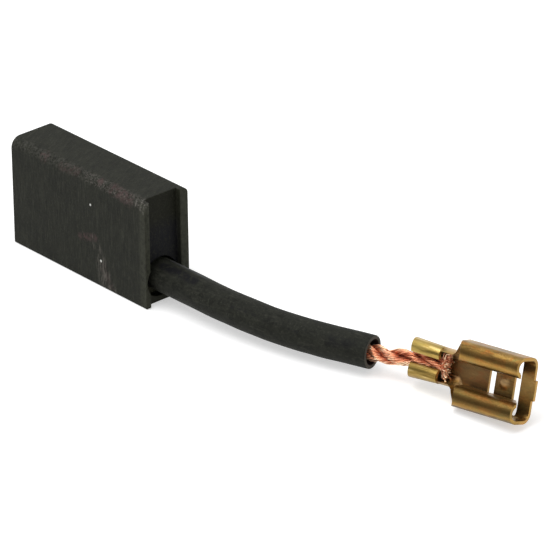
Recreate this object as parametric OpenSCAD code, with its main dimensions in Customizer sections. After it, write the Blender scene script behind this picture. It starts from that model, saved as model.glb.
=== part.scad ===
// Carbon brush with an insulated flexible lead and a 6.3 mm tab receptacle.
//
// Lengths are in millimetres. The block stands on its bottom face with the
// origin at the middle of that face. +X runs along the block to the end that
// the lead leaves, +Y across its width and +Z up. The running face is at -X.

/* [Carbon block] */
// Length of the block, from the running face to the lead end
block_length = 24; // [16:0.5:32]
// Width of the block, across the commutator bars
block_width = 6.5; // [6:0.1:9]
// Height of the block, along the armature shaft
block_height = 13.5; // [10:0.5:18]
// Radius on the near long top edge
near_edge_radius = 1.3; // [0.4:0.1:1.5]
// Radius on the far long top edge
far_edge_radius = 0.7; // [0.4:0.1:1.5]
// Depth of the groove sawn across the lead end
groove_depth = 0.7; // [0.4:0.1:1.2]
// Wall that the groove leaves on the near side
near_wall = 0.7; // [0.5:0.1:1]
// Wall that the groove leaves on the far side
far_wall = 1.2; // [0.8:0.1:1.3]

/* [Lead hole] */
// Diameter of the hole that the lead is tamped into
hole_diameter = 4.9; // [4.7:0.1:5]
// Depth of the hole below the groove floor, without its drill tip
hole_depth = 6.8; // [5:0.2:9]
// Height of the hole's centre above the bottom face
hole_height = 3.15; // [2.9:0.05:3.6]
// Offset of the hole's centre towards the near side
hole_offset = 0.55; // [0.45:0.05:0.6]
// Depth of the part of the hole that the sleeve enters
sleeve_entry = 1.2; // [0.8:0.1:2]
// Point angle of the drill
drill_point = 118; // [90:2:140]

/* [Lead] */
// Diameter of the bare copper rope
shunt_diameter = 1.95; // [1.5:0.05:2.2]
// Diameter that the crimp squeezes the rope to
crimped_diameter = 1.6; // [1.3:0.05:1.8]
// Length of the rope's tail in front of the crimp
shunt_tail = 0.9; // [0.6:0.1:2]
// Outer diameter of the insulating sleeve
sleeve_diameter = 3.9; // [3.3:0.1:4]
// Wall of the insulating sleeve
sleeve_wall = 0.45; // [0.3:0.05:0.6]

/* [Terminal sheet] */
// Thickness of the brass sheet
sheet = 0.4; // [0.3:0.02:0.5]
// Turn of the terminal about its own axis, away from upright
terminal_tilt = 18.8; // [0:0.2:30]

/* [Receptacle] */
// Width over the two rolled sides
receptacle_width = 7.5; // [7.1:0.1:7.9]
// Height of the rolled sides
roll_height = 3.5; // [3.2:0.1:3.8]
// Outer radius of each roll at its top
roll_radius = 1.2; // [1:0.05:1.3]
// Outer radius of the bend between the floor and each side
corner_radius = 1.2; // [0.8:0.05:1.4]
// Length of the rolled sides
receptacle_length = 8.8; // [7.8:0.1:10]
// Gap between the floor and the free edges, where the tab is gripped
grip_gap = 0.75; // [0.6:0.05:0.9]
// Radius of the rolls' rear top corners, seen from the side
rear_corner = 1.2; // [0.6:0.1:1.4]
// How far the front edges of the sides lean back over their height
mouth_lean = 0.3; // [0:0.05:0.5]
// Length of the lead-in cut on the front of each free edge
lead_in = 1.1; // [0.4:0.1:1.4]

/* [Spring floor] */
// Width of the two slots that free the spring tongue, along the terminal
slot_width = 0.85; // [0.6:0.05:1]
// Length of each slot across the floor
slot_length = 6.5; // [4.5:0.1:6.6]
// Land between the mouth and the front slot
front_land = 1.7; // [1.2:0.1:2.2]
// Length of the spring tongue between the two slots
tongue_length = 2.55; // [2.1:0.05:3]
// Diameter of the locking dimple at the floor
dimple_diameter = 1.9; // [1.4:0.1:2]
// Height of the dimple above the floor
dimple_height = 0.3; // [0.2:0.05:0.4]
// Width of the stub where the sheet was cut from its carrier strip
stub_width = 2.3; // [1.5:0.1:3]
// Length of the stub
stub_length = 0.3; // [0.1:0.05:0.5]

/* [Crimp] */
// Width over the crimped wings at their rear
crimp_width = 4.55; // [4.2:0.05:4.8]
// Share of that width left at the front of the wings and in the neck
crimp_taper = 0.92; // [0.88:0.01:1]
// Height over the crimped wings
crimp_height = 2.6; // [2.4:0.05:3.2]
// Length of the wings
crimp_length = 4.6; // [3:0.1:5]
// How far the wings' rear edges lean forward over their height
wing_lean = 0.7; // [0:0.1:1]
// Sideways offset of the crimp from the middle of the receptacle
crimp_shift = 0.15; // [0:0.05:0.4]
// Outer radius of the bends beside the barrel's floor
barrel_radius = 1.4; // [1:0.1:1.6]
// Outer radius of the curl of each wing
wing_radius = 0.95; // [0.7:0.05:1.05]
// Angle through which the wings curl over, on average
wing_curl = 144; // [95:1:155]
// How much further the lower wing curls than the upper one
wing_skew = 32; // [0:2:40]
// Height of the neck's side walls
neck_height = 1.5; // [1.4:0.1:1.9]
// Distance from the wings to the rolled sides
neck_length = 2.8; // [2.2:0.1:3.6]
// Length over which the neck widens to the receptacle
flare_length = 1.1; // [0.8:0.1:1.8]

/* [Hidden] */
$fn = 64;

// Overshoot of cuts through a face
cut = 1;

// Depth of the drilled tip
tip_depth = hole_diameter / 2 / tan(drill_point / 2);
groove_floor = block_length / 2 - groove_depth;
plug_face = groove_floor - sleeve_entry;
hole_bottom = groove_floor - hole_depth;
// Powder left under the rope's inner end
rope_clearance = 0.5;
// The sleeve lies against the far side of the hole
lead_y = (hole_diameter - sleeve_diameter) / 2 - hole_offset - 0.05;
rope_start = [hole_bottom + rope_clearance, lead_y, hole_height];
lead_exit = [block_length / 2, lead_y, hole_height];

// Centre line of the lead, as steps from where it leaves the block. The sleeve
// ends at point SLEEVE_END, the crimp squeezes the rope from CRIMP_START on, and
// the last two points give the direction of the terminal.
LAY = [
    [0, 0, 0], [2, 0.05, 0], [5, 0.15, -0.05], [8, 0.3, -0.15],
    [11, 0.6, -0.25], [14, 1.05, -0.35], [17, 1.6, -0.45], [20, 2.35, -0.5],
    [23, 3.25, -0.55], [26, 4.3, -0.55], [28.9, 5.3, -0.55], [30.8, 5.9, -0.45],
    [32.3, 6.4, -0.3], [33.8, 7.04, 0.01], [36.2, 7.47, 0.3], [38.8, 7.85, 0.48]
];
SLEEVE_END = 10;
CRIMP_START = 13;

route = [for (step = LAY) lead_exit + step];
// The stretch inside the block, before the route
buried = [rope_start, [plug_face, lead_y, hole_height]];

// Terminal frame: x along its axis with 0 at the mouth, y across it and z up
// from the outer face of its floor.
rear_x = -receptacle_length;
crimp_front_x = rear_x - neck_length;
crimp_rear_x = crimp_front_x - crimp_length;
shunt_end_x = crimp_front_x + shunt_tail;
shunt_z = sheet + crimped_diameter / 2;
neck_width = crimp_width * crimp_taper;

lead_end = route[len(route) - 1];
lead_way = lead_end - route[len(route) - 2];
terminal_yaw = atan2(lead_way.y, lead_way.x);
terminal_pitch = atan2(lead_way.z, norm([lead_way.x, lead_way.y]));

front_slot_x = -front_land - slot_width;
rear_slot_x = front_slot_x - tongue_length - slot_width;
dimple_x = front_slot_x - tongue_length / 2;
free_edge_z = sheet + grip_gap;

// Unit vector along v
function unit(v) = v / norm(v);

// Direction of the path at point i
function way(path, i) =
    unit(path[min(i + 1, len(path) - 1)] - path[max(i - 1, 0)]);

// Ring of points of the given radius around point i, square to the path
function ring(path, i, radius, sides) =
    let (
        w = way(path, i),
        side = unit(cross(w, [0, 0, 1])),
        up = cross(side, w)
    )
    [for (k = [0 : sides - 1])
        let (a = 360 * (k + 0.5) / sides)
        path[i] + radius * (cos(a) * side + sin(a) * up)];

// A solid rope that follows the path, with a radius for each of its points
module swept_rod(path, radii, sides) {
    n = len(path);
    points = [for (i = [0 : n - 1]) each ring(path, i, radii[i], sides)];
    skin = [for (i = [0 : n - 2], k = [0 : sides - 1])
        let (j = (k + 1) % sides)
        [i * sides + k, i * sides + j, (i + 1) * sides + j, (i + 1) * sides + k]];
    ends = [[for (k = [sides - 1 : -1 : 0]) k],
            [for (k = [0 : sides - 1]) (n - 1) * sides + k]];
    polyhedron(points, concat(skin, ends), convexity = 4);
}

// A tube that follows the path, with open ends
module swept_tube(path, radius, bore, sides) {
    n = len(path);
    inner = n * sides;
    points = concat(
        [for (i = [0 : n - 1]) each ring(path, i, radius, sides)],
        [for (i = [0 : n - 1]) each ring(path, i, bore, sides)]
    );
    faces = [for (i = [0 : n - 2], k = [0 : sides - 1])
        let (j = (k + 1) % sides, a = i * sides, b = a + sides)
        each [[a + k, a + j, b + j, b + k],
              [inner + a + k, inner + b + k, inner + b + j, inner + a + j]]];
    last = (n - 1) * sides;
    rims = [for (k = [0 : sides - 1])
        let (j = (k + 1) % sides)
        each [[j, k, inner + k, inner + j],
              [last + k, last + j, inner + last + j, inner + last + k]]];
    polyhedron(points, concat(faces, rims), convexity = 6);
}

// End view of the block, with its two top edges rounded
module block_section() {
    difference() {
        translate([-block_width / 2, 0]) square([block_width, block_height]);
        top_corner(near_edge_radius);
        mirror([1, 0]) top_corner(far_edge_radius);
    }
}

// What rounding takes off the section's top left corner
module top_corner(radius) {
    translate([-block_width / 2, block_height]) difference() {
        translate([-cut, -radius]) square([radius + cut, radius + cut]);
        translate([radius, -radius]) circle(radius);
    }
}

// The drilled hole for the lead, from its tip to beyond the block's end
module lead_hole(mouth) {
    translate([hole_bottom, -hole_offset, hole_height]) rotate([0, 90, 0]) {
        cylinder(d = hole_diameter, h = mouth - hole_bottom);
        translate([0, 0, -tip_depth])
            cylinder(d1 = 0, d2 = hole_diameter, h = tip_depth);
    }
}

module carbon_block() {
    color("dimgray") difference() {
        translate([-block_length / 2, 0, 0]) rotate([90, 0, 90])
            linear_extrude(block_length) block_section();
        translate([groove_floor, -block_width / 2 + near_wall, -cut])
            cube([groove_depth + cut, block_width - near_wall - far_wall,
                  block_height + 2 * cut]);
        lead_hole(block_length / 2 + cut);
    }
}

// Copper powder rammed round the rope, up to where the sleeve starts
module tamping_plug() {
    color("peru") difference() {
        lead_hole(plug_face);
        translate(rope_start) rotate([0, 90, 0])
            cylinder(d = shunt_diameter, h = hole_depth + cut);
    }
}

module shunt() {
    path = concat(buried, route);
    squeezed = CRIMP_START + len(buried);
    color("chocolate")
        swept_rod(path, [for (i = [0 : len(path) - 1])
                      (i < squeezed ? shunt_diameter : crimped_diameter) / 2], 8);
}

module insulating_sleeve() {
    covered = concat([buried[1]], [for (i = [0 : SLEEVE_END]) route[i]]);
    color("darkslategray")
        swept_tube(covered, sleeve_diameter / 2, sleeve_diameter / 2 - sleeve_wall, 12);
}

// Sheet bent round a corner: part of a ring, between two angles
module bend(centre, radius, from, to) {
    reach = 2 * radius;
    translate(centre) intersection() {
        difference() {
            circle(radius);
            circle(radius - sheet);
        }
        polygon([[0, 0], for (a = [from : (to - from) / 4 : to])
                     reach * [cos(a), sin(a)]]);
    }
}

// Flat floor and the two bends beside it
module folded_floor(width, radius) {
    flat = width / 2 - radius;
    translate([-flat, 0]) square([2 * flat, sheet]);
    for (side = [0, 1]) mirror([side, 0])
        bend([flat, radius], radius, -90, 0);
}

// Section of the receptacle: floor, sides, rolled tops and free edges
module receptacle_section() {
    outer = receptacle_width / 2;
    folded_floor(receptacle_width, corner_radius);
    for (side = [0, 1]) mirror([side, 0]) {
        translate([outer - sheet, corner_radius])
            square([sheet, roll_height - roll_radius - corner_radius]);
        bend([outer - roll_radius, roll_height - roll_radius], roll_radius, 0, 180);
        translate([outer - 2 * roll_radius, free_edge_z])
            square([sheet, roll_height - roll_radius - free_edge_z]);
    }
}

// Section of the crimp: floor, sides and wings curled over the rope
module crimp_section() {
    outer = crimp_width / 2;
    folded_floor(crimp_width, barrel_radius);
    for (side = [0, 1]) mirror([side, 0]) {
        translate([outer - sheet, barrel_radius])
            square([sheet, crimp_height - wing_radius - barrel_radius]);
        bend([outer - wing_radius, crimp_height - wing_radius], wing_radius,
             0, wing_curl + (side - 0.5) * wing_skew);
    }
}

// Section of the open channel that the neck is folded to
module channel_outline(width, height, radius) {
    translate([-width / 2, radius]) square([width, height - radius]);
    translate([-width / 2 + radius, 0]) square([width - 2 * radius, radius]);
    for (side = [-1, 1])
        translate([side * (width / 2 - radius), radius]) circle(radius);
}

// Extrudes a section of the terminal from x0 to x1 along its axis, narrowing
// to a share of its width
module along(x0, x1, taper = 1) {
    translate([x0, 0, 0]) rotate([90, 0, 90])
        linear_extrude(x1 - x0, scale = [taper, 1], slices = 1) children();
}

// The rolled sides seen from the side, with their rear top corners rounded off
// and their front edges leaning back
module roll_side_view() {
    top = roll_height - rear_corner;
    translate([rear_x, -cut]) square([receptacle_length, top + cut]);
    difference() {
        translate([rear_x + rear_corner, -cut])
            square([receptacle_length - rear_corner, roll_height + 2 * cut]);
        polygon([[cut, corner_radius], [0, corner_radius],
                 [-mouth_lean, roll_height], [-mouth_lean, roll_height + 2 * cut],
                 [cut, roll_height + 2 * cut]]);
    }
    translate([rear_x + rear_corner, top]) circle(rear_corner);
}

// What the lead-in takes off the front of the free edges, seen from the side
module lead_in_view() {
    low = sheet + grip_gap / 2;
    high = roll_height - roll_radius / 2;
    polygon([[-mouth_lean - lead_in, low], [-mouth_lean - lead_in, free_edge_z],
             [0, high], [cut, high], [cut, low]]);
}

// Round hump with soft edges, that the dimple is pressed over
module hump() {
    reach = dimple_diameter / 2;
    steps = 6;
    rotate_extrude() polygon(concat(
        [[0, -cut]],
        [[reach, -cut]],
        [for (i = [0 : steps])
            let (r = reach * (1 - i / steps))
            [r, dimple_height * (1 + cos(180 * r / reach)) / 2]]
    ));
}

module receptacle() {
    // Width between the middles of the two rolls
    inner_width = receptacle_width - 2 * roll_radius;
    difference() {
        union() {
            intersection() {
                along(rear_x, 0) receptacle_section();
                from_the_side() roll_side_view();
            }
            translate([-cut, -stub_width / 2, 0])
                cube([stub_length + cut, stub_width, sheet]);
            translate([dimple_x, 0, sheet]) intersection() {
                hump();
                translate([-dimple_diameter, -dimple_diameter, -sheet / 2])
                    cube([2 * dimple_diameter, 2 * dimple_diameter, sheet]);
            }
        }
        translate([dimple_x, 0, 0]) hump();
        for (x = [front_slot_x, rear_slot_x])
            translate([x, -slot_length / 2, -cut])
                cube([slot_width, slot_length, corner_radius + cut]);
        from_the_side(inner_width) lead_in_view();
    }
}

// Neck's channel at a share of the way from the crimp to the rolled sides,
// drawn smaller by the inset
module neck_outline(share, inset) {
    // Eased, so that the sides leave both ends of the flare in line
    ease = (1 - cos(180 * share)) / 2;
    width = neck_width + ease * (receptacle_width - neck_width);
    height = neck_height + ease * (2 * corner_radius - neck_height);
    radius = barrel_radius + ease * (corner_radius - barrel_radius);
    rise = inset > 0 ? cut : 0;
    translate([crimp_shift * crimp_taper * (1 - ease), inset])
        channel_outline(width - 2 * inset, height + rise, radius - inset);
}

// Solid channel between the crimp and the rolled sides, flared at its front
module neck_body(inset, overlap) {
    slice = sheet / 8;
    steps = 3;
    along(crimp_front_x - overlap, rear_x - flare_length + slice)
        neck_outline(0, inset);
    for (i = [0 : steps - 1]) hull() {
        along_at(i / steps, slice) neck_outline(i / steps, inset);
        along_at((i + 1) / steps, slice) neck_outline((i + 1) / steps, inset);
    }
    along(rear_x, rear_x + overlap + slice) neck_outline(1, inset);
}

// Thin slice across the flare, at a share of its length
module along_at(share, slice) {
    x = rear_x - flare_length * (1 - share);
    along(x, x + slice) children();
}

module neck() {
    difference() {
        neck_body(0, 0);
        neck_body(sheet, cut);
    }
}

// The wings seen from the side, with their rear edges leaning forward
module wing_side_view() {
    polygon([
        [crimp_rear_x, -cut], [crimp_front_x, -cut],
        [crimp_front_x, crimp_height + cut],
        [crimp_rear_x + wing_lean, crimp_height + cut],
        [crimp_rear_x + wing_lean, crimp_height],
        [crimp_rear_x, sheet]
    ]);
}

module crimp() {
    intersection() {
        along(crimp_rear_x, crimp_front_x, crimp_taper)
            translate([crimp_shift, 0]) crimp_section();
        from_the_side() wing_side_view();
    }
}

// Extrudes a side view of the terminal through the middle of its width
module from_the_side(width = 2 * receptacle_width) {
    rotate([90, 0, 0]) translate([0, 0, -width / 2])
        linear_extrude(width) children();
}

module terminal() {
    color("darkgoldenrod")
        translate(lead_end) rotate([90 - terminal_tilt, -terminal_pitch, terminal_yaw])
            translate([-shunt_end_x, -crimp_shift, -shunt_z]) {
                receptacle();
                neck();
                crimp();
            }
}

carbon_block();
tamping_plug();
shunt();
insulating_sleeve();
terminal();
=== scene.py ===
import math

import bmesh
import bpy
from mathutils import Euler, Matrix, Quaternion, Vector, noise


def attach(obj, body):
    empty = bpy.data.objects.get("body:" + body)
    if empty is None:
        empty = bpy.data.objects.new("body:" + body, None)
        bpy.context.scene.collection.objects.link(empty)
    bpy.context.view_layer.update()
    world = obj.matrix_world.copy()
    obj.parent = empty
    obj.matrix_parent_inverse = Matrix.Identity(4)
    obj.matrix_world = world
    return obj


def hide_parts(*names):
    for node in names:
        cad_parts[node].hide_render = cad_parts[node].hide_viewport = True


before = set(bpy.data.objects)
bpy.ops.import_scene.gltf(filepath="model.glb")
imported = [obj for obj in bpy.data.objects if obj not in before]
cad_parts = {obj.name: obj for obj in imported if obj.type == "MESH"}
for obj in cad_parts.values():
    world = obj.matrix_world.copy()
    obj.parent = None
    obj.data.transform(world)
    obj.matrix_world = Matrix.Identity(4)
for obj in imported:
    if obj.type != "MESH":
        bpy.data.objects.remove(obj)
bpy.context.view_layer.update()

MM = 0.001

# The lead's centre line in millimetres: two points inside the block, then
# every point from where it leaves the block to the end of the rope's tail.
BURIED = [(5.0, -0.1, 3.15), (10.1, -0.1, 3.15)]
LAY = [
    (12.0, -0.1, 3.15), (14.0, -0.05, 3.15), (17.0, 0.05, 3.1), (20.0, 0.2, 3.0),
    (23.0, 0.5, 2.9), (26.0, 0.95, 2.8), (29.0, 1.5, 2.7), (32.0, 2.25, 2.65),
    (35.0, 3.15, 2.6), (38.0, 4.2, 2.6), (40.9, 5.2, 2.6), (42.8, 5.8, 2.7),
    (44.3, 6.3, 2.85), (45.8, 6.94, 3.16), (48.2, 7.37, 3.45), (50.8, 7.75, 3.63),
]
# The points of LAY, counted from 0, where the sleeve ends and where the crimp starts
SLEEVE_END, CRIMP_START = 10, 13

ROPE_DIAMETER = 1.95 * MM
CRIMPED_DIAMETER = 1.6 * MM
# The rope narrows over this length in front of the crimp
NARROWING = 1.2 * MM
TAIL = 0.9 * MM
BUNDLES = 3
WIRES_IN_A_BUNDLE = 30
# The rope's radius over that of one of its three bundles
BUNDLES_ACROSS = 1 + 2 / math.sqrt(3)
# The bundles are this much fuller than round ones would be, so that they touch all along
FULLNESS = 1.18
# Each wire lies this angle on from the wire before, so that they fill a bundle evenly
GOLDEN_ANGLE = math.pi * (3 - math.sqrt(5))
SLEEVE_DIAMETER = 3.9 * MM
SLEEVE_WALL = 0.45 * MM
# How far apart the points of the lead's line lie, for what is laid along it
LINE_STEP = 0.4 * MM

# The block in millimetres: its near face, its top, its two ends and the crest of
# its rounded near top edge
NEAR_FACE = -3.25
BLOCK_TOP = 13.5
RUNNING_END, LEAD_END = -12.0, 12.0
NEAR_EDGE_RADIUS = 1.3
EDGE_CUT = NEAR_EDGE_RADIUS * (1 - math.sqrt(0.5))
EDGE_Y, EDGE_Z = NEAR_FACE + EDGE_CUT, BLOCK_TOP - EDGE_CUT
# The groove's two walls, and the hole's middle
GROOVE_NEAR, GROOVE_FAR = -2.55, 2.05
HOLE_Y, HOLE_Z = -0.55, 3.15

# The terminal's own axes in millimetres: x along it with 0 at the mouth, y across
# it and z up from its floor. The rope ends at ROPE_END on them.
# It is turned about the lead, and follows the fall and the heading of the lead's end.
TERMINAL_TILT, LEAD_FALL, LEAD_HEADING = 18.8, -3.92, 8.32
TERMINAL_TURN = tuple(
    math.radians(angle) for angle in (90 - TERMINAL_TILT, LEAD_FALL, LEAD_HEADING)
)
ROLLS_REAR = -8.8
CRIMP_FRONT = -11.6
ROPE_END = (CRIMP_FRONT + 0.9, 0.15, 1.2)
DIMPLE = -3.83
ROLL_HEIGHT = 3.5
CORNER_RADIUS = 1.2
MOUTH_LEAN = 0.3
# From within the crimp to within the rolls, where edges lie too close to be eased
NECK = (CRIMP_FRONT - 1.0, ROLLS_REAR + 0.6)

# Faces that meet flatter than FLAT are one face, and a sharper edge than SHARP
# is eased; shading breaks past CREASED
FLAT = math.radians(0.5)
SHARP = math.radians(35)
CREASED = math.radians(40)
# Points of a solid closer than this, in millimetres, are one point
MERGED = 0.002

# The view, in millimetres of lens, in metres, and as the way that it looks
LENS = 327.27
VIEW_PLACE = (0.40286, -0.32932, 0.26058)
VIEW_WAY = (-0.66901, 0.59164, -0.44988)
VIEW_ROLL = math.radians(-0.641)
# The middle of the part, which the lamps are turned to
PART_MIDDLE = (0.025, 0, 0.005)


def metres(points):
    return [Vector(p) * MM for p in points]


def new_object(name, data):
    made = bpy.data.objects.new(name, data)
    bpy.context.scene.collection.objects.link(made)
    return made


# ---------------------------------------------------------------- view

def set_view():
    """A long lens, looking down on the block's lead end from the front right."""
    data = bpy.data.cameras.new("view")
    data.sensor_width = 36
    data.lens = LENS
    data.clip_start = 0.01
    data.clip_end = 20
    camera = new_object("view", data)
    camera.location = VIEW_PLACE
    camera.rotation_mode = "QUATERNION"
    level = Vector(VIEW_WAY).to_track_quat("-Z", "Y")
    camera.rotation_quaternion = level @ Quaternion((0, 0, 1), VIEW_ROLL)
    bpy.context.scene.camera = camera


# ---------------------------------------------------------------- curves

def smooth_line(points, step):
    """Points every step or so on a smooth curve through the given points."""
    ends = [2 * points[0] - points[1], *points, 2 * points[-1] - points[-2]]
    line = [points[0].copy()]
    for before, a, b, after in zip(ends, ends[1:], ends[2:], ends[3:]):
        parts = max(1, round((b - a).length / step))
        for i in range(1, parts + 1):
            t = i / parts
            line.append(
                0.5 * (
                    2 * a
                    + (b - before) * t
                    + (2 * before - 5 * a + 4 * b - after) * t ** 2
                    + (3 * a - before - 3 * b + after) * t ** 3
                )
            )
    return line


def length_of(line):
    return sum((b - a).length for a, b in zip(line, line[1:]))


def crosswise(line):
    """For each point, the level direction across the line and the one above it."""
    ways = [
        (line[min(i + 1, len(line) - 1)] - line[max(i - 1, 0)]).normalized()
        for i in range(len(line))
    ]
    sides = [way.cross(Vector((0, 0, 1))).normalized() for way in ways]
    return [(side, side.cross(way)) for side, way in zip(sides, ways)]


def curve_object(name, line):
    data = bpy.data.curves.new(name, "CURVE")
    data.dimensions = "3D"
    spline = data.splines.new("POLY")
    spline.points.add(len(line) - 1)
    for point, place in zip(spline.points, line):
        point.co = (*place, 1)
    return new_object(name, data)


# ---------------------------------------------------------------- nodes

def add(tree, kind, inputs=None, **settings):
    """Adds a node with its settings, and sets or joins its inputs."""
    made = tree.nodes.new(kind)
    for name, value in settings.items():
        setattr(made, name, value)
    for key, value in (inputs or {}).items():
        join(tree, value, made.inputs[key])
    return made


def join(tree, value, socket):
    if isinstance(value, bpy.types.NodeSocket):
        tree.links.new(value, socket)
    else:
        socket.default_value = value


def maths(tree, operation, *values, clamp=False):
    made = tree.nodes.new("ShaderNodeMath")
    made.operation = operation
    made.use_clamp = clamp
    for value, socket in zip(values, made.inputs):
        join(tree, value, socket)
    return made.outputs[0]


def vector_maths(tree, operation, *values, scale=None, output="Vector"):
    made = tree.nodes.new("ShaderNodeVectorMath")
    made.operation = operation
    for value, socket in zip(values, made.inputs):
        join(tree, value, socket)
    if scale is not None:
        join(tree, scale, made.inputs["Scale"])
    return made.outputs[output]


def dot(tree, first, second):
    return vector_maths(tree, "DOT_PRODUCT", first, second, output="Value")


def total(tree, first, second):
    return maths(tree, "ADD", first, second)


def less(tree, first, second):
    """The first value less the second."""
    return maths(tree, "SUBTRACT", first, second)


def ratio(tree, first, second):
    return maths(tree, "DIVIDE", first, second)


def product(tree, *values):
    result = values[0]
    for value in values[1:]:
        result = maths(tree, "MULTIPLY", result, value)
    return result


def most_of(tree, *values):
    result = values[0]
    for value in values[1:]:
        result = maths(tree, "MAXIMUM", result, value)
    return result


def weighed(tree, base, *shares):
    """The base plus each value times its weight."""
    result = base
    for value, weight in shares:
        result = maths(tree, "MULTIPLY_ADD", value, weight, result)
    return result


def scaled(tree, vector, *sizes):
    """The vector times all the sizes."""
    return vector_maths(tree, "SCALE", vector, scale=product(tree, *sizes))


def parts_of(tree, vector):
    """The vector's x, y and z."""
    return add(tree, "ShaderNodeSeparateXYZ", {"Vector": vector}).outputs


# ---------------------------------------------------------------- shader parts

def paint(red, green, blue):
    """A colour given as it appears, in 0 to 255, as the shader wants it."""
    return (
        *(
            c / 12.92 if c <= 0.04045 else ((c + 0.055) / 1.055) ** 2.4
            for c in (red / 255, green / 255, blue / 255)
        ),
        1.0,
    )


def new_finish(name):
    """A material with an empty surface shader, and the place on the part in millimetres."""
    material = bpy.data.materials.new(name)
    material.use_nodes = True
    tree = material.node_tree
    shader = tree.nodes["Principled BSDF"]
    place = add(
        tree,
        "ShaderNodeMapping",
        {
            "Vector": add(tree, "ShaderNodeTexCoord").outputs["Object"],
            "Scale": (1 / MM,) * 3,
        },
    ).outputs[0]
    return material, tree, shader, place


def grain(tree, place, scale, detail=3.0, rough=0.5, stretch=(1, 1, 1), turn=(0, 0, 0), distortion=0.0):
    """Cloudy noise from 0 to 1, scale to the millimetre, drawn out along the turned axes."""
    mapped = add(
        tree,
        "ShaderNodeMapping",
        {"Vector": place, "Rotation": tuple(math.radians(a) for a in turn), "Scale": stretch},
        vector_type="TEXTURE",
    ).outputs[0]
    return add(
        tree,
        "ShaderNodeTexNoise",
        {
            "Vector": mapped,
            "Scale": scale,
            "Detail": detail,
            "Roughness": rough,
            "Distortion": distortion,
        },
    ).outputs["Fac"]


def between(tree, value, low, high, smooth=True):
    """0 where the value is low, 1 where it is high. Low may be above high."""
    return add(
        tree,
        "ShaderNodeMapRange",
        {"Value": value, "From Min": low, "From Max": high, "To Min": 0.0, "To Max": 1.0},
        interpolation_type="SMOOTHSTEP" if smooth else "LINEAR",
    ).outputs["Result"]


def mix(tree, share, first, second):
    """The first colour where the share is 0, and the second where it is 1."""
    made = tree.nodes.new("ShaderNodeMix")
    made.data_type = "RGBA"
    join(tree, share, made.inputs[0])
    join(tree, first, made.inputs[6])
    join(tree, second, made.inputs[7])
    return made.outputs[2]


def mix_value(tree, share, first, second):
    made = tree.nodes.new("ShaderNodeMix")
    made.data_type = "FLOAT"
    join(tree, share, made.inputs[0])
    join(tree, first, made.inputs[2])
    join(tree, second, made.inputs[3])
    return made.outputs[0]


def cover(tree, body, colour, *shares):
    """Lays a colour over the body, as strongly as the shares say when multiplied."""
    return mix(tree, product(tree, *shares), body, paint(*colour))


def relief(tree, shader, height, depth_mm, strength=1.0):
    """Raises the surface by the height, 0 to 1, times the depth."""
    bump = add(
        tree,
        "ShaderNodeBump",
        {"Strength": strength, "Distance": depth_mm * MM, "Height": height},
    )
    tree.links.new(bump.outputs[0], shader.inputs["Normal"])


def near_line(tree, place, start, end, radius):
    """1 on the straight line from start to end, falling to 0 at the radius."""
    start, end = Vector(start), Vector(end)
    line = end - start
    from_start = vector_maths(tree, "SUBTRACT", place, tuple(start))
    share = maths(
        tree, "MULTIPLY", dot(tree, from_start, tuple(line)), 1 / line.length_squared, clamp=True
    )
    foot = vector_maths(tree, "SCALE", tuple(line), scale=share)
    away = vector_maths(tree, "DISTANCE", from_start, foot, output="Value")
    return between(tree, away, radius, radius * 0.3)


def near_point(tree, place, spot, radius):
    """1 at the spot, falling to 0 at the radius, in millimetres."""
    away = vector_maths(tree, "DISTANCE", place, spot, output="Value")
    return between(tree, away, radius, radius * 0.3)


def band(tree, value, low, high, soft):
    """1 from low to high, falling to 0 over the soft distance on both sides."""
    rising = between(tree, value, low - soft, low + soft)
    return product(tree, rising, between(tree, value, high + soft, high - soft))


# ---------------------------------------------------------------- finishes

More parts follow.
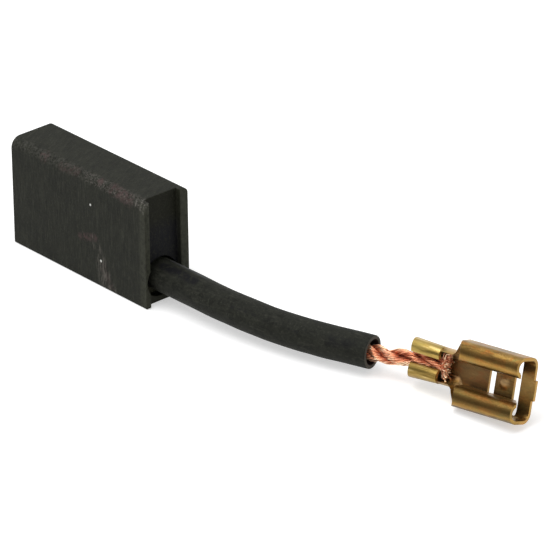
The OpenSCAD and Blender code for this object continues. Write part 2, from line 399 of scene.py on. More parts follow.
def ground_carbon():
    """Pressed carbon: near black, ground upright on its sides, rubbed along its near top edge."""
    material, tree, shader, place = new_finish("ground_carbon")
    x, y, z = parts_of(tree, place)
    facing = add(tree, "ShaderNodeNewGeometry").outputs["Normal"]
    _, facing_y, facing_z = parts_of(tree, facing)

    cloud = grain(tree, place, 0.45, detail=5, rough=0.65)
    pores = grain(tree, place, 3.6, detail=4, rough=0.75)
    upright_strokes = grain(tree, place, 4.2, detail=4, rough=0.75, stretch=(1, 1, 7))
    long_strokes = grain(tree, place, 1.5, detail=3, rough=0.6, stretch=(1, 1, 9))
    top_strokes = grain(tree, place, 2.4, detail=4, rough=0.7, stretch=(4, 1, 1), turn=(0, 0, 117))
    upright = between(tree, maths(tree, "ABSOLUTE", facing_z), 0.8, 0.4)
    stroke = mix_value(tree, upright, top_strokes, upright_strokes)

    body = mix(tree, between(tree, cloud, 0.3, 0.7), paint(29, 30, 24), paint(36, 37, 30))
    light_stroke = product(tree, between(tree, stroke, 0.52, 0.68), mix_value(tree, upright, 0.34, 0.5))
    body = cover(tree, body, (57, 58, 49), light_stroke)
    dark_stroke = product(tree, between(tree, stroke, 0.48, 0.34), mix_value(tree, upright, 0.5, 0.55))
    body = cover(tree, body, (17, 18, 14), dark_stroke)
    body = cover(tree, body, (55, 56, 47), between(tree, long_strokes, 0.55, 0.7), upright, 0.3)
    body = cover(tree, body, (58, 59, 50), between(tree, pores, 0.54, 0.7), 0.5)
    body = cover(tree, body, (15, 16, 12), between(tree, pores, 0.46, 0.3), 0.55)

    # Rubbed band along the rounded near top edge, and along the lead end's edge
    ragged = grain(tree, place, 1.9, detail=4, rough=0.75)
    speckled = grain(tree, place, 4.5, detail=3, rough=0.7)
    edge = near_line(tree, place, (RUNNING_END, EDGE_Y, EDGE_Z), (LEAD_END, EDGE_Y, EDGE_Z), 1.1)
    worn = product(tree, edge, between(tree, ragged, 0.36, 0.56))
    body = cover(tree, body, (80, 79, 74), worn, between(tree, pores, 0.38, 0.56), 0.42)
    flecks = product(
        tree,
        near_line(tree, place, (1.5, EDGE_Y, EDGE_Z), (LEAD_END, EDGE_Y, EDGE_Z - 0.12), 0.95),
        between(tree, speckled, 0.52, 0.66),
    )
    body = cover(tree, body, (120, 114, 109), flecks, 0.45)
    end_band = most_of(
        tree,
        product(tree, between(tree, x, 10.6, 11.3), between(tree, facing_y, -0.5, -0.9)),
        between(tree, x, LEAD_END - 0.04, LEAD_END - 0.01),
    )
    body = cover(tree, body, (64, 65, 54), end_band, between(tree, ragged, 0.25, 0.6), 0.55)

    # Scratches down over the edge near the lead end
    scratches = most_of(
        tree,
        near_line(tree, place, (11.0, -2.6, 13.4), (11.2, NEAR_FACE, 12.3), 0.26),
        near_line(tree, place, (10.2, -2.7, 13.3), (10.3, NEAR_FACE, 12.6), 0.2),
        near_line(tree, place, (11.6, -2.9, 13.1), (11.7, NEAR_FACE, 12.1), 0.2),
    )
    body = cover(tree, body, (134, 130, 124), scratches, between(tree, speckled, 0.35, 0.55), 0.25)

    # Reddish rubbings, from copper that was smeared on the carbon
    rubbed = most_of(
        tree,
        near_point(tree, place, (-6.2, -2.9, 13.0), 1.0),
        product(tree, near_line(tree, place, (-3.0, -3.1, 12.9), (-0.4, -2.9, 13.1), 0.8), 0.6),
        near_point(tree, place, (3.7, -2.8, 13.2), 0.8),
        near_line(tree, place, (6.0, -2.9, 13.2), (9.0, -3.1, 12.8), 1.1),
        near_line(tree, place, (0.4, NEAR_FACE, 5.2), (2.9, NEAR_FACE, 5.9), 0.7),
        product(tree, near_line(tree, place, (4.3, NEAR_FACE, 2.6), (5.8, NEAR_FACE, 0.4), 0.8), 0.5),
    )
    blurred = grain(tree, place, 2.1, detail=2, rough=0.8)
    body = cover(tree, body, (90, 69, 69), rubbed, between(tree, blurred, 0.34, 0.62), 0.4)

    # A long light scratch on the near face, broken by the grinding, and two bright chips
    trail = most_of(
        tree,
        product(tree, near_line(tree, place, (2.9, NEAR_FACE, 5.6), (4.0, NEAR_FACE, 3.2), 1.1), 0.8),
        near_line(tree, place, (4.0, NEAR_FACE, 3.2), (4.7, NEAR_FACE, 0.2), 1.3),
        product(tree, near_line(tree, place, (4.7, NEAR_FACE, 2.2), (5.9, NEAR_FACE, 0.2), 1.0), 0.8),
    )
    broken = grain(tree, place, 4.2, detail=3, rough=0.75, stretch=(1, 1, 6))
    body = cover(tree, body, (102, 97, 91), trail, between(tree, broken, 0.46, 0.62), 0.62)
    chips = most_of(
        tree,
        near_point(tree, place, (2.3, NEAR_FACE, 9.9), 0.2),
        near_point(tree, place, (3.95, NEAR_FACE, 3.3), 0.22),
    )
    body = cover(tree, body, (226, 226, 220), chips)

    # The groove is painted darker than the block, olive above and bluish below, as painted shade
    inside = product(
        tree,
        between(tree, x, LEAD_END - 0.02, LEAD_END - 0.1),
        between(tree, x, LEAD_END - 1.0, LEAD_END - 0.8),
        band(tree, y, GROOVE_NEAR - 0.005, GROOVE_FAR + 0.005, 0.025),
    )
    painted_groove_shade = mix(tree, between(tree, z, 11.0, 8.5), paint(15, 15, 5), paint(7, 7, 14))
    # Painted light: the groove is lighter towards its bottom, to lift the shade under the sleeve
    painted_groove_shade = cover(tree, painted_groove_shade, (36, 36, 27), between(tree, z, 3.4, 2.0))
    painted_groove_shade = cover(tree, painted_groove_shade, (40, 41, 32), between(tree, pores, 0.48, 0.64), 0.5)
    body = mix(tree, product(tree, inside, 0.85), body, painted_groove_shade)
    # The hole's upper part is painted near black, as the painted shadow round the sleeve
    hole_painted_shadow = near_line(tree, place, (2.0, HOLE_Y, HOLE_Z), (LEAD_END - 0.9, HOLE_Y, HOLE_Z), 2.75)
    body = cover(tree, body, (5, 5, 4), hole_painted_shadow, between(tree, z, 2.2, 3.6), 0.9)

    tree.links.new(body, shader.inputs["Base Color"])
    rough = weighed(tree, 0.5, (pores, 0.3), (worn, -0.1))
    tree.links.new(rough, shader.inputs["Roughness"])
    shader.inputs["Specular IOR Level"].default_value = 0.12
    relief(tree, shader, weighed(tree, 0.0, (stroke, 0.5), (pores, 0.5)), 0.07, 0.9)
    return material


def rammed_powder():
    """Copper and graphite powder pressed into the hole: nearly black, with a few brown grains, and
    painted lighter below.
    """
    material, tree, shader, place = new_finish("rammed_powder")
    cloud = grain(tree, place, 1.2, detail=4)
    grains = add(tree, "ShaderNodeTexVoronoi", {"Vector": place, "Scale": 7.0}).outputs["Distance"]
    _, _, z = parts_of(tree, place)
    body = mix(tree, cloud, paint(8, 7, 6), paint(18, 15, 12))
    # Painted light: lighter towards the bottom, to lift the shade under the sleeve
    body = cover(tree, body, (62, 62, 48), between(tree, z, 3.0, 1.8))
    body = cover(tree, body, (66, 44, 34), between(tree, grains, 0.25, 0.1), 0.35)
    tree.links.new(body, shader.inputs["Base Color"])
    tree.links.new(weighed(tree, 0.6, (cloud, 0.3)), shader.inputs["Roughness"])
    shader.inputs["Specular IOR Level"].default_value = 0.15
    relief(tree, shader, grains, 0.08)
    return material


def bare_copper():
    """Fine copper wires: painted highlights where they stand out, painted brown red shade in the
    hollows between bundles.
    """
    material, tree, shader, place = new_finish("bare_copper")
    tone_and_painted_light = add(tree, "ShaderNodeAttribute", attribute_name="tone_and_painted_light").outputs["Fac"]
    cloud = grain(tree, place, 0.9, detail=3, rough=0.6)
    fine = grain(tree, place, 6.0, detail=2)
    # The tone holds the painted highlights and painted shade set on the rope
    body = mix(tree, between(tree, tone_and_painted_light, 0.1, 0.4), paint(98, 36, 24), paint(194, 105, 70))
    body = cover(tree, body, (236, 160, 120), between(tree, tone_and_painted_light, 0.4, 0.62))
    body = cover(tree, body, (255, 224, 186), between(tree, tone_and_painted_light, 0.62, 0.92))
    body = cover(tree, body, (150, 66, 52), between(tree, cloud, 0.52, 0.66), 0.55)
    body = cover(tree, body, (255, 222, 198), between(tree, fine, 0.56, 0.75), 0.4)
    tree.links.new(body, shader.inputs["Base Color"])
    shader.inputs["Metallic"].default_value = 0.75
    tree.links.new(weighed(tree, 0.2, (fine, 0.25)), shader.inputs["Roughness"])
    relief(tree, shader, fine, 0.01)
    return material


def dull_sleeving():
    """Soft dark sleeving, matt and blotched, with dark bluish lines along it."""
    material, tree, shader, place = new_finish("dull_sleeving")
    cloud = grain(tree, place, 0.8, detail=5, rough=0.65)
    fine = grain(tree, place, 3.2, detail=4, rough=0.75)
    drawn = grain(tree, place, 2.6, detail=4, rough=0.7, stretch=(5, 1, 1), turn=(0, 0, 11))
    blots = grain(tree, place, 1.2, detail=3, rough=0.6, distortion=0.5)
    depth = add(tree, "ShaderNodeAttribute", attribute_name="depth").outputs["Fac"]
    body = mix(tree, between(tree, cloud, 0.32, 0.68), paint(30, 31, 26), paint(39, 40, 34))
    body = cover(tree, body, (62, 63, 55), between(tree, fine, 0.54, 0.7), 0.55)
    body = cover(tree, body, (12, 13, 10), between(tree, fine, 0.46, 0.3), 0.65)
    body = cover(tree, body, (59, 59, 52), between(tree, drawn, 0.54, 0.7), 0.5)
    body = cover(tree, body, (16, 17, 14), between(tree, drawn, 0.46, 0.32), 0.6)
    body = cover(tree, body, (17, 18, 14), between(tree, blots, 0.55, 0.66), 0.55)
    # Dark bluish lines along the top of the sleeve
    dark_lines = most_of(
        tree,
        near_line(tree, place, (12.2, -0.9, 5.0), (17.5, -0.7, 4.95), 0.8),
        product(tree, near_line(tree, place, (24.0, -0.8, 4.0), (33.0, 1.0, 3.6), 0.35), 0.8),
        near_line(tree, place, (37.0, 2.6, 3.4), (39.6, 3.6, 3.4), 1.0),
    )
    body = cover(tree, body, (13, 13, 18), dark_lines, between(tree, blots, 0.36, 0.5), 0.8)
    shine = near_line(tree, place, (12.2, 0.6, 4.95), (18.0, 0.75, 4.9), 0.5)
    body = cover(tree, body, (78, 78, 82), shine, between(tree, drawn, 0.4, 0.56), 0.5)
    # The cut ends are paler, and the bore is painted a dark reddish brown, as painted shade
    body = cover(tree, body, (78, 75, 68), between(tree, depth, 0.2, 0.45), 0.85)
    body = cover(tree, body, (26, 11, 8), between(tree, depth, 0.6, 0.9))
    tree.links.new(body, shader.inputs["Base Color"])
    tree.links.new(weighed(tree, 0.55, (fine, 0.25)), shader.inputs["Roughness"])
    shader.inputs["Specular IOR Level"].default_value = 0.12
    relief(tree, shader, weighed(tree, 0.0, (drawn, 0.5), (fine, 0.5)), 0.09, 0.9)
    return material


def stamped_brass():
    """Brass strip, drawn, with painted reflections on its rolls, painted shade in its hollows and lower
    side, painted highlights on its flare and dimple, and bright where it was cut.
    """
    material, tree, shader, place = new_finish("stamped_brass")
    # The place along, across and above the terminal's floor
    from_end = vector_maths(tree, "SUBTRACT", place, LAY[-1])
    turned = add(
        tree, "ShaderNodeVectorRotate", {"Vector": from_end, "Rotation": TERMINAL_TURN},
        rotation_type="EULER_XYZ", invert=True,
    ).outputs[0]
    on_strip = vector_maths(tree, "ADD", turned, ROPE_END)
    x, y, z = parts_of(tree, on_strip)
    off_middle = maths(tree, "ABSOLUTE", y)

    cloud = grain(tree, on_strip, 0.7, detail=4, rough=0.6, stretch=(2, 1, 1))
    drawn = grain(tree, on_strip, 1.7, detail=5, rough=0.7, stretch=(5, 1, 1))
    tint = grain(tree, on_strip, 0.75, detail=4, rough=0.6, stretch=(2, 1, 1), distortion=0.6)
    fine = grain(tree, on_strip, 5.0, detail=4, rough=0.65)
    body = mix(tree, between(tree, cloud, 0.3, 0.7), paint(128, 97, 44), paint(158, 124, 62))
    body = cover(tree, body, (170, 106, 44), between(tree, tint, 0.52, 0.62), 0.7)
    body = cover(tree, body, (122, 118, 66), between(tree, tint, 0.47, 0.36), 0.65)
    body = cover(tree, body, (84, 58, 28), between(tree, drawn, 0.5, 0.36), 0.6)
    body = cover(tree, body, (196, 160, 100), between(tree, fine, 0.54, 0.7), 0.35)
    body = cover(tree, body, (70, 52, 30), between(tree, fine, 0.46, 0.32), 0.4)
    body = cover(tree, body, (198, 164, 100), between(tree, drawn, 0.56, 0.7), 0.45)

    # Painted reflections in bands along the rolls: dark on the crest, and bright inside and outside it
    up_roll = total(tree, y, weighed(tree, -0.45, (drawn, 0.9)))
    on_rolls = between(tree, x, ROLLS_REAR - 0.8, ROLLS_REAR + 0.2)
    high = product(tree, between(tree, z, 1.6, 2.1), on_rolls)
    painted_dark_reflections = most_of(
        tree,
        band(tree, up_roll, 2.35, 3.2, 0.25),
        band(tree, up_roll, -2.85, -1.9, 0.25),
    )
    painted_bright_reflections = most_of(
        tree,
        band(tree, up_roll, 1.75, 2.2, 0.15),
        band(tree, up_roll, -3.4, -3.05, 0.15),
    )
    painted_underside_shade = between(tree, up_roll, -3.5, -3.65)
    # Painted shade: the lower roll is darker than the upper one
    body = cover(tree, body, (98, 74, 36), high, between(tree, y, 0.0, -0.5), 0.45)
    body = cover(tree, body, (78, 58, 27), high, painted_dark_reflections, 0.75)
    body = cover(tree, body, (192, 148, 72), high, painted_bright_reflections, 0.35)
    # Painted shade along the outer underside of the lower roll
    body = cover(tree, body, (66, 46, 24), high, painted_underside_shade, 0.7)
    # The wings keep a lighter, greener yellow, with lines along them from the drawing of the strip
    wings = between(tree, x, CRIMP_FRONT + 0.2, CRIMP_FRONT - 0.1)
    lines = grain(tree, on_strip, 2.4, detail=3, rough=0.6, stretch=(14, 1, 1))
    body = cover(tree, body, (192, 166, 90), wings, 0.65)
    # Painted shade: the lower wing is darker than the upper one
    body = cover(tree, body, (128, 100, 50), wings, between(tree, y, 0.3, -0.3), 0.45)
    body = cover(tree, body, (96, 80, 34), wings, between(tree, lines, 0.49, 0.38), 0.7)
    body = cover(tree, body, (232, 208, 142), wings, between(tree, lines, 0.54, 0.64), 0.6)
    # The floor is painted brown, more so towards the rear, as painted shade, and so are the insides of
    # the rolls and the crimp
    floor = product(
        tree,
        between(tree, z, 0.75, 0.5),
        between(tree, x, CRIMP_FRONT, CRIMP_FRONT + 1.0),
        between(tree, x, -0.8, -1.9),
    )
    floor_shade = mix_value(tree, between(tree, x, -6.0, -2.5), 0.65, 0.35)
    body = cover(tree, body, (112, 86, 62), floor, floor_shade)
    # A painted highlight on the dimple
    dimple_painted_highlight = near_point(tree, on_strip, (DIMPLE, 0, 0.75), 1.0)
    body = cover(tree, body, (204, 168, 120), dimple_painted_highlight, 0.6)
    shade_in_rolls = product(
        tree,
        between(tree, off_middle, 1.75, 1.95),
        between(tree, off_middle, 3.45, 3.3),
        between(tree, z, 0.3, 0.5),
        between(tree, z, 3.2, 3.0),
        between(tree, x, -0.8, -3.2),
        between(tree, x, ROLLS_REAR - 0.1, ROLLS_REAR + 0.3),
    )
    shade_in_crimp = product(
        tree,
        between(tree, x, CRIMP_FRONT + 0.4, CRIMP_FRONT + 0.1),
        between(tree, z, 2.2, 1.9),
        between(tree, off_middle, 1.95, 1.75),
    )
    # The flare behind the rolls is painted lighter, as painted highlight, and lighter still where it
    # turns into the rolls
    neck = band(tree, x, CRIMP_FRONT + 0.6, ROLLS_REAR - 0.1, 0.3)
    painted_flare_light = product(tree, neck, between(tree, z, 0.5, 1.0))
    body = cover(tree, body, (196, 158, 92), painted_flare_light, 0.5)
    neck_painted_highlight = most_of(
        tree,
        near_line(tree, on_strip, (-10.6, 1.9, 1.0), (-8.6, 2.9, 1.4), 1.5),
        near_point(tree, on_strip, (-9.6, -1.9, 0.9), 0.8),
    )
    body = cover(tree, body, (228, 192, 136), neck_painted_highlight, 0.6)
    # Painted shade inside the rolls and the crimp
    body = cover(tree, body, (96, 58, 24), shade_in_rolls, 0.7)
    body = cover(tree, body, (60, 34, 18), shade_in_crimp, 0.8)
    # Painted light: lighter low down near the mouth
    mouth_painted_light = product(tree, between(tree, x, -2.6, -1.2), between(tree, z, 2.2, 1.4))
    body = cover(tree, body, (186, 148, 92), mouth_painted_light, 0.35)
    # Cut edges are a little brighter
    facing = add(
        tree, "ShaderNodeVectorRotate",
        {"Vector": add(tree, "ShaderNodeNewGeometry").outputs["Normal"], "Rotation": TERMINAL_TURN},
        rotation_type="EULER_XYZ", invert=True,
    ).outputs[0]
    facing_x, _, _ = parts_of(tree, facing)
    cut = between(tree, maths(tree, "ABSOLUTE", facing_x), 0.6, 0.85)
    body = cover(tree, body, (196, 158, 88), cut, 0.35)

    tree.links.new(body, shader.inputs["Base Color"])
    # Metallic is lower where the neck's highlight is painted, so that it takes more light
    tree.links.new(weighed(tree, 0.9, (neck_painted_highlight, -0.5)), shader.inputs["Metallic"])
    tree.links.new(weighed(tree, 0.26, (fine, 0.2)), shader.inputs["Roughness"])
    relief(tree, shader, weighed(tree, 0.0, (drawn, 0.5), (fine, 0.5)), 0.03, 0.6)
    return material


# ---------------------------------------------------------------- stranded rope

ROPE_INPUTS = (
    ("Geometry", "NodeSocketGeometry", None),
    ("Bundles", "NodeSocketInt", BUNDLES),
    ("Wires in a bundle", "NodeSocketInt", WIRES_IN_A_BUNDLE),
    ("Bundle radius", "NodeSocketFloat", 0.45 * MM),
    ("Bundle offset", "NodeSocketFloat", 0.5 * MM),
    ("Wire radius", "NodeSocketFloat", 0.07 * MM),
    ("Rope lay", "NodeSocketFloat", -7 * MM),
    ("Bundle lay", "NodeSocketFloat", 5 * MM),
    ("Squeeze from", "NodeSocketFloat", 30 * MM),
    ("Squeezed share", "NodeSocketFloat", 0.8),
    ("Fray from", "NodeSocketFloat", 40 * MM),
    ("Fray length", "NodeSocketFloat", 0.8 * MM),
    ("Fray way", "NodeSocketVector", (0, 0, 1)),
    ("Fray width", "NodeSocketFloat", 3 * MM),
    ("Fray height", "NodeSocketFloat", 1.2 * MM),
    ("Fray curl", "NodeSocketFloat", 0.5 * MM),
    ("Unevenness", "NodeSocketFloat", 0.05 * MM),
    ("Seed", "NodeSocketInt", 3),
)


def wire_meshes(tree, wires, wire_radius, finish):
    """Gives each wire its round section and its finish."""
    section = add(
        tree, "GeometryNodeCurvePrimitiveCircle",
        {"Resolution": 5, "Radius": wire_radius}, mode="RADIUS",
    ).outputs["Curve"]
    skin = add(
        tree, "GeometryNodeCurveToMesh",
        {"Curve": wires, "Profile Curve": section, "Fill Caps": True},
    ).outputs["Mesh"]
    smooth = add(tree, "GeometryNodeSetShadeSmooth", {"Geometry": skin}).outputs["Geometry"]
    whole = add(tree, "GeometryNodeRealizeInstances", {"Geometry": smooth}).outputs["Geometry"]
    return add(
        tree, "GeometryNodeSetMaterial", {"Geometry": whole, "Material": finish},
    ).outputs["Geometry"]


def stranded_rope_tree(finish):
    """Lays bundles of fine wires round the route and turns each wire into a mesh."""
    tree = bpy.data.node_groups.new("stranded_rope", "GeometryNodeTree")
    for name, kind, value in ROPE_INPUTS:
        socket = tree.interface.new_socket(name, in_out="INPUT", socket_type=kind)
        if value is not None:
            socket.default_value = value
    tree.interface.new_socket("Geometry", in_out="OUTPUT", socket_type="NodeSocketGeometry")
    given = tree.nodes.new("NodeGroupInput").outputs
    result = tree.nodes.new("NodeGroupOutput")
    wires_in_bundle = given["Wires in a bundle"]

    # Every wire starts as a copy of the middle line, with a number of its own
    copies = add(
        tree, "GeometryNodeDuplicateElements",
        {"Geometry": given["Geometry"],
         "Amount": product(tree, given["Bundles"], wires_in_bundle)},
        domain="SPLINE",
    ).outputs
    wires = add(
        tree, "GeometryNodeStoreNamedAttribute",
        {"Geometry": copies["Geometry"], "Name": "wire", "Value": copies["Duplicate Index"]},
        data_type="INT", domain="CURVE",
    ).outputs["Geometry"]
    wire = add(
        tree, "GeometryNodeInputNamedAttribute", {"Name": "wire"}, data_type="INT",
    ).outputs["Attribute"]
    bundle = maths(tree, "FLOOR", ratio(tree, total(tree, wire, 0.5), wires_in_bundle))
    in_bundle = less(tree, wire, product(tree, bundle, wires_in_bundle))

    along = add(tree, "GeometryNodeSplineParameter").outputs["Length"]
    tangent = add(tree, "GeometryNodeInputTangent").outputs[0]
    across = vector_maths(
        tree, "NORMALIZE", vector_maths(tree, "CROSS_PRODUCT", tangent, (0, 0, 1))
    )
    above = vector_maths(tree, "CROSS_PRODUCT", across, tangent)

    def chance(seed):
        """A number from 0 to 1, different for every wire."""
        return add(
            tree, "FunctionNodeRandomValue",
            {"ID": wire, "Seed": total(tree, given["Seed"], seed)}, data_type="FLOAT",
        ).outputs["Value"]

    def wander(number, pace, seed):
        """Slow changes along the rope, different for every number, from -0.5 to 0.5."""
        noise_at = add(tree, "ShaderNodeCombineXYZ", {
            "X": product(tree, along, pace / MM),
            "Y": product(tree, number, 3.7),
            "Z": seed,
        }).outputs[0]
        colour = add(
            tree, "ShaderNodeTexNoise", {"Vector": noise_at, "Scale": 1.0, "Detail": 1.0},
        ).outputs["Color"]
        return vector_maths(tree, "SUBTRACT", colour, (0.5, 0.5, 0.5))

    def turns(lay):
        """The angle turned so far, at one turn for each lay."""
        return product(tree, math.tau, ratio(tree, along, lay))

    def ring(angle, out):
        """The way to a place on a ring round the middle line."""
        return vector_maths(
            tree, "ADD",
            scaled(tree, across, maths(tree, "COSINE", angle), out),
            scaled(tree, above, maths(tree, "SINE", angle), out),
        )

    squeeze = add(
        tree, "ShaderNodeMapRange",
        {"Value": along, "From Min": given["Squeeze from"],
         "From Max": total(tree, given["Squeeze from"], NARROWING),
         "To Min": 1.0, "To Max": given["Squeezed share"]},
        interpolation_type="SMOOTHSTEP",
    ).outputs["Result"]
    fray_to = total(tree, given["Fray from"], given["Fray length"])
    fray = between(tree, along, given["Fray from"], fray_to, smooth=False)
    not_frayed = less(tree, 1.0, fray)

    # The bundles lie round the middle of the rope, each with slack of its own
    lag, _, _ = parts_of(tree, wander(bundle, 0.35, 1.7))
    between_bundles = ratio(tree, math.tau, given["Bundles"])
    turn = weighed(tree, turns(given["Rope lay"]), (bundle, between_bundles), (lag, 1.6))

    # Wires fill a bundle from its middle outwards
    share = maths(tree, "SQRT", ratio(tree, total(tree, in_bundle, 0.5), wires_in_bundle))
    own_turn = weighed(tree, turns(given["Bundle lay"]), (in_bundle, GOLDEN_ANGLE))
    wire_out = product(tree, share, less(tree, given["Bundle radius"], given["Wire radius"]))
    in_place = vector_maths(
        tree, "ADD", ring(turn, given["Bundle offset"]), ring(own_turn, wire_out)
    )
    slack = scaled(tree, wander(wire, 0.45, 5.3), given["Unevenness"])
    laid_out = vector_maths(tree, "ADD", scaled(tree, in_place, squeeze), slack)

    # The cut end opens out flat: each wire goes to a place of its own in a low box
    fray_up = vector_maths(tree, "CROSS_PRODUCT", tangent, given["Fray way"])
    opened = vector_maths(
        tree, "ADD",
        scaled(tree, given["Fray way"], less(tree, chance(21), 0.5), given["Fray width"]),
        scaled(tree, fray_up, less(tree, chance(31), 0.5), given["Fray height"]),
    )
    curl = scaled(tree, wander(wire, 1.5, 8.2), given["Fray curl"])
    offset = add(
        tree, "ShaderNodeMix", {0: fray, 4: laid_out, 5: vector_maths(tree, "ADD", opened, curl)},
        data_type="VECTOR",
    ).outputs[1]
    # and some wires are cut shorter than others
    shorter = scaled(tree, tangent, fray, TAIL, chance(11), -0.6)
    offset = vector_maths(tree, "ADD", offset, shorter)

    # Wires are painted bright far from the rope's middle, as painted highlight, and dark in the
    # hollows between the bundles, as painted shade. Below they are painted brighter than above,
    # as the painted reflection of the table; they are brighter near the sleeve, duller in the
    # crimp, and of many tones in the frayed end
    from_middle = vector_maths(tree, "LENGTH", offset, output="Value")
    rope_radius = product(
        tree, squeeze, total(tree, given["Bundle offset"], given["Bundle radius"])
    )
    painted_rim_light = between(tree, ratio(tree, from_middle, rope_radius), 0.5, 0.95)
    _, patch, _ = parts_of(tree, wander(bundle, 0.55, 9.1))
    height = dot(tree, offset, above)
    near_sleeve = less(tree, given["Squeeze from"], 3.5 * MM)
    tone_and_painted_light = weighed(
        tree, 0.27,
        (chance(0), 0.26),
        (product(tree, painted_rim_light, not_frayed), 0.44),
        (patch, 1.2),
        (product(tree, height, not_frayed), -0.14 / MM),
        (between(tree, along, given["Squeeze from"], near_sleeve), 0.1),
        (less(tree, squeeze, 1.0), 0.7),
        (fray, weighed(tree, 0.02, (chance(41), 0.55))),
    )
    # The tone, with its painted light, is kept before the wires are laid, while they still follow the
    # middle line
    toned = add(
        tree, "GeometryNodeStoreNamedAttribute",
        {"Geometry": wires, "Name": "tone_and_painted_light", "Value": tone_and_painted_light}, data_type="FLOAT", domain="POINT",
    ).outputs["Geometry"]
    laid = add(
        tree, "GeometryNodeSetPosition", {"Geometry": toned, "Offset": offset},
    ).outputs["Geometry"]
    skinned = wire_meshes(tree, laid, given["Wire radius"], finish)
    tree.links.new(skinned, result.inputs["Geometry"])
    return tree


def made_by(tree, name, source, **values):
    """Runs a node tree on the source object, and returns the plain mesh it makes."""
    modifier = source.modifiers.new("made_by", "NODES")
    modifier.node_group = tree
    sockets = {
        item.name: item.identifier
        for item in tree.interface.items_tree
        if item.item_type == "SOCKET" and item.in_out == "INPUT"
    }
    for words, value in values.items():
        modifier[sockets[words.replace("_", " ")]] = value
    bpy.context.view_layer.update()
    evaluated = source.evaluated_get(bpy.context.evaluated_depsgraph_get())
    mesh = bpy.data.meshes.new_from_object(evaluated)
    source.modifiers.remove(modifier)
    bpy.data.objects.remove(source)
    mesh.name = name
    return new_object(name, mesh)


def copper_rope(finish):
    """The bare rope, from the block's hole through the crimp to its frayed tail."""
    line = smooth_line(metres(BURIED + LAY), LINE_STEP)
    crimp_from = length_of(smooth_line(metres(BURIED + LAY[: CRIMP_START + 1]), LINE_STEP))
    whole = length_of(line)
    # The tail bends within a millimetre, so its last five steps have closer points
    tail_from = len(line) - 6
    closer = 4
    tail = [
        line[i].lerp(line[i + 1], part / closer)
        for i in range(tail_from, len(line) - 1)
        for part in range(closer)
    ]
    line = line[:tail_from] + tail + [line[-1]]
    across_terminal = Euler(TERMINAL_TURN).to_matrix() @ Vector((0, 1, 0))
    bundle_radius = ROPE_DIAMETER / 2 / BUNDLES_ACROSS
    return made_by(
        stranded_rope_tree(finish), "copper_rope", curve_object("route", line),
        Bundles=BUNDLES,
        Wires_in_a_bundle=WIRES_IN_A_BUNDLE,
        Bundle_radius=bundle_radius * FULLNESS,
        Bundle_offset=ROPE_DIAMETER / 2 - bundle_radius,
        Wire_radius=0.075 * MM,
        Rope_lay=-8 * MM,
        Bundle_lay=6 * MM,
        Squeeze_from=crimp_from - NARROWING,
        Squeezed_share=CRIMPED_DIAMETER / ROPE_DIAMETER,
        Fray_from=whole - TAIL - 0.1 * MM,
        Fray_length=0.7 * MM,
        Fray_way=across_terminal,
        Fray_width=3.1 * MM,
        Fray_height=1.2 * MM,
        Fray_curl=0.9 * MM,
        Unevenness=0.28 * MM,
        Seed=3,
    )


# ---------------------------------------------------------------- sleeve

def insulating_sleeving(finish):
    """A round tube over the rope, with softly rounded cut ends."""
    line = smooth_line(metres([BURIED[1]] + LAY[: SLEEVE_END + 1]), LINE_STEP)
    outer, inner = SLEEVE_DIAMETER / 2, SLEEVE_DIAMETER / 2 - SLEEVE_WALL
    lip = 0.1 * MM
    sides = 56
    sag_depth, sag_pace = 0.035 * MM, 0.35 / MM
    last = len(line) - 1
    # Each ring is a point of the line, a step along it, a radius, and how deep
    # it lies: 0 outside, 0.5 on the cut ends and 1 in the bore
    rings = [(0, 0, outer - lip, 0.5), (0, lip, outer, 0)]
    rings += [(i, 0, outer, 0) for i in range(1, last)]
    rings += [
        (last, -lip, outer, 0),
        (last, -0.3 * lip, outer - 0.3 * lip, 0.5),
        (last, 0, outer - lip, 0.5),
        (last, 0, inner + lip, 0.5),
        (last, -0.3 * lip, inner + 0.3 * lip, 0.7),
        (last, -lip, inner, 1),
    ]
    rings += [(i, 0, inner, 1) for i in range(last - 1, 0, -1)]
    rings += [(0, lip, inner, 1), (0, 0, inner + lip, 0.5)]
    frames = crosswise(line)
    mesh = bmesh.new()
    grid = []
    for i, step, radius, _ in rings:
        across, above = frames[i]
        way = above.cross(across)
        row = []
        for k in range(sides):
            angle = math.tau * k / sides
            out = across * math.cos(angle) + above * math.sin(angle)
            place = line[i] + way * step
            sag = noise.noise((place + out * outer) * sag_pace) * sag_depth
            row.append(mesh.verts.new(place + out * (radius + sag)))
        grid.append(row)
    for here, there in zip(grid, grid[1:] + grid[:1]):
        for k in range(sides):
            j = (k + 1) % sides
            mesh.faces.new((here[k], there[k], there[j], here[j]))
    bmesh.ops.recalc_face_normals(mesh, faces=mesh.faces)
    data = bpy.data.meshes.new("sleeving")
    mesh.to_mesh(data)
    mesh.free()
    depth = data.attributes.new("depth", "FLOAT", "POINT")
    depth.data.foreach_set("value", [ring[3] for ring in rings for _ in range(sides)])
    data.shade_smooth()
    data.materials.append(finish)
    return new_object("sleeving", data)


# ---------------------------------------------------------------- eased solids

def on_terminal(place):
    """A place in metres, given on the terminal's own axes in millimetres."""
    turned = Euler(TERMINAL_TURN).to_matrix().transposed() @ (place / MM - Vector(LAY[-1]))
    return turned + Vector(ROPE_END)


def from_terminal(place):
    turned = Euler(TERMINAL_TURN).to_matrix() @ (place - Vector(ROPE_END))
    return (turned + Vector(LAY[-1])) * MM


def even_mouth(mesh):
    """Leans the front edges of the terminal's sides back in one line."""
    for vertex in mesh.verts:
        place = on_terminal(vertex.co)
        if place.x > -MERGED and place.z > CORNER_RADIUS:
            place.x = -MOUTH_LEAN * (place.z - CORNER_RADIUS) / (ROLL_HEIGHT - CORNER_RADIUS)
            vertex.co = from_terminal(place)


def off_the_neck(edge):
    """Whether an edge of the terminal lies on its rolls, its floor or its wings."""
    return all(not NECK[0] < on_terminal(v.co).x < NECK[1] for v in edge.verts)


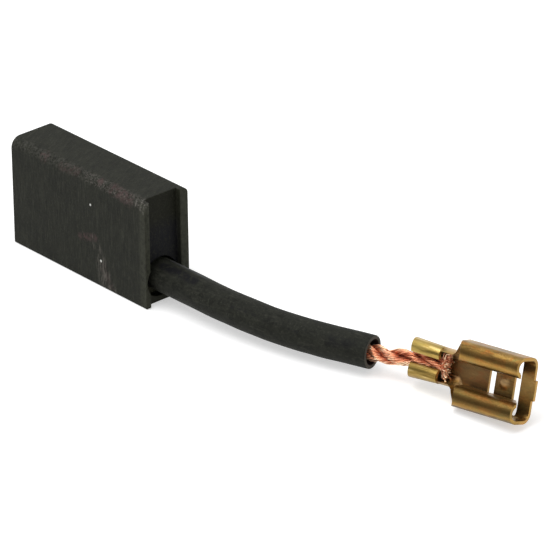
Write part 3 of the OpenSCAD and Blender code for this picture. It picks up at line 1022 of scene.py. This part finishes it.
def eased(node, name, width, finish, merged=MERGED, clear=False, mend=None, where=None):
    """A copy of a CAD solid, with its sharp edges eased by the width.

    Points closer than the merged distance become one. The mend works on the
    copy first, where says which edges are eased, and clear lets them be eased
    by the full width on every side.
    """
    mesh = bmesh.new()
    mesh.from_mesh(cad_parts[node].data)
    if mend:
        mend(mesh)
    bmesh.ops.remove_doubles(mesh, verts=mesh.verts, dist=merged * MM)
    bmesh.ops.dissolve_limit(mesh, angle_limit=FLAT, verts=mesh.verts, edges=mesh.edges)
    sharp = [
        edge for edge in mesh.edges
        if edge.is_manifold and edge.calc_face_angle() > SHARP and (not where or where(edge))
    ]
    bmesh.ops.bevel(
        mesh, geom=sharp, offset=width, offset_type="OFFSET", segments=3, profile=0.5,
        affect="EDGES", clamp_overlap=not clear,
    )
    bmesh.ops.remove_doubles(mesh, verts=mesh.verts, dist=0.001 * MM)
    bmesh.ops.recalc_face_normals(mesh, faces=mesh.faces)
    data = bpy.data.meshes.new(name)
    mesh.to_mesh(data)
    mesh.free()
    data.shade_smooth()
    data.set_sharp_from_angle(angle=CREASED)
    data.materials.append(finish)
    made = new_object(name, data)
    weighted = made.modifiers.new("weighted", "WEIGHTED_NORMAL")
    weighted.keep_sharp = True
    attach(made, "root")
    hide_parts(node)
    return made


# ---------------------------------------------------------------- studio

def seen_white(tree):
    """1 for what the camera sees, straight or in a gloss, and 0 for light on the part."""
    path = add(tree, "ShaderNodeLightPath").outputs
    seen = maths(tree, "MAXIMUM", path["Is Camera Ray"], path["Is Glossy Ray"])
    return maths(tree, "MAXIMUM", seen, path["Is Transmission Ray"])


def pale_floor():
    """A plain pale table that keeps the part's shadow and reads as white."""
    size = 3.0
    data = bpy.data.meshes.new("table")
    data.from_pydata(
        [(-size, -size, 0), (size, -size, 0), (size, size, 0), (-size, size, 0)],
        [], [(0, 1, 2, 3)],
    )
    material = bpy.data.materials.new("pale_table")
    material.use_nodes = True
    tree = material.node_tree
    shader = tree.nodes["Principled BSDF"]
    shader.inputs["Base Color"].default_value = (0.8, 0.8, 0.8, 1)
    shader.inputs["Roughness"].default_value = 0.9
    shader.inputs["Specular IOR Level"].default_value = 0.0
    glow = add(
        tree, "ShaderNodeEmission",
        {"Color": (1, 1, 1, 1), "Strength": product(tree, seen_white(tree), 0.45)},
    )
    both = add(tree, "ShaderNodeAddShader")
    tree.links.new(shader.outputs[0], both.inputs[0])
    tree.links.new(glow.outputs[0], both.inputs[1])
    tree.links.new(both.outputs[0], tree.nodes["Material Output"].inputs["Surface"])
    data.materials.append(material)
    table = new_object("table", data)
    table.location.z = -0.05 * MM


def soft_lamp(name, place, size, power):
    data = bpy.data.lights.new(name, "AREA")
    data.shape = "SQUARE"
    data.size = size
    data.energy = power
    lamp = new_object(name, data)
    lamp.location = place
    aim = Vector(PART_MIDDLE) - Vector(place)
    lamp.rotation_euler = aim.to_track_quat("-Z", "Y").to_euler()


def studio():
    """A soft white room: bright above, with duller walls, so that metal shows its form."""
    world = bpy.data.worlds.new("studio")
    bpy.context.scene.world = world
    world.use_nodes = True
    tree = world.node_tree
    background = tree.nodes["Background"]
    background.inputs["Color"].default_value = (1, 1, 1, 1)
    path = add(tree, "ShaderNodeLightPath").outputs
    way = add(tree, "ShaderNodeTexCoord").outputs["Generated"]
    _, way_y, height = parts_of(tree, way)
    dull = product(tree, between(tree, way_y, -0.1, -0.75), between(tree, height, 0.6, 0.1))
    mirrored = mix_value(tree, dull, 1.0, 0.25)
    strength = mix_value(tree, path["Is Glossy Ray"], 0.5, mirrored)
    seen = maths(tree, "MAXIMUM", path["Is Camera Ray"], path["Is Transmission Ray"])
    tree.links.new(mix_value(tree, seen, strength, 1.0), background.inputs["Strength"])
    soft_lamp("key", (-0.12, -0.3, 0.95), 0.9, 7.0)
    soft_lamp("fill", (0.8, -0.35, 0.45), 0.6, 1.0)
    pale_floor()
    bpy.context.scene.view_settings.view_transform = "Standard"


# ---------------------------------------------------------------- the part

def dress(name, finish):
    """Gives a part of the CAD model its finish."""
    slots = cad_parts[name].data.materials
    slots.clear()
    slots.append(finish)


set_view()
rope = copper_rope(bare_copper())
sleeving = insulating_sleeving(dull_sleeving())
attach(rope, "root")
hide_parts("shunt")
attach(sleeving, "root")
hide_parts("insulating_sleeve")
block = eased("carbon_block", "ground_block", 0.1 * MM, ground_carbon())
receptacle = eased(
    "terminal", "tab_receptacle", 0.045 * MM, stamped_brass(),
    merged=0.03, clear=True, mend=even_mouth, where=off_the_neck,
)
rope_line = smooth_line(metres(BURIED + LAY), 1.5 * MM)

dress("tamping_plug", rammed_powder())
studio()
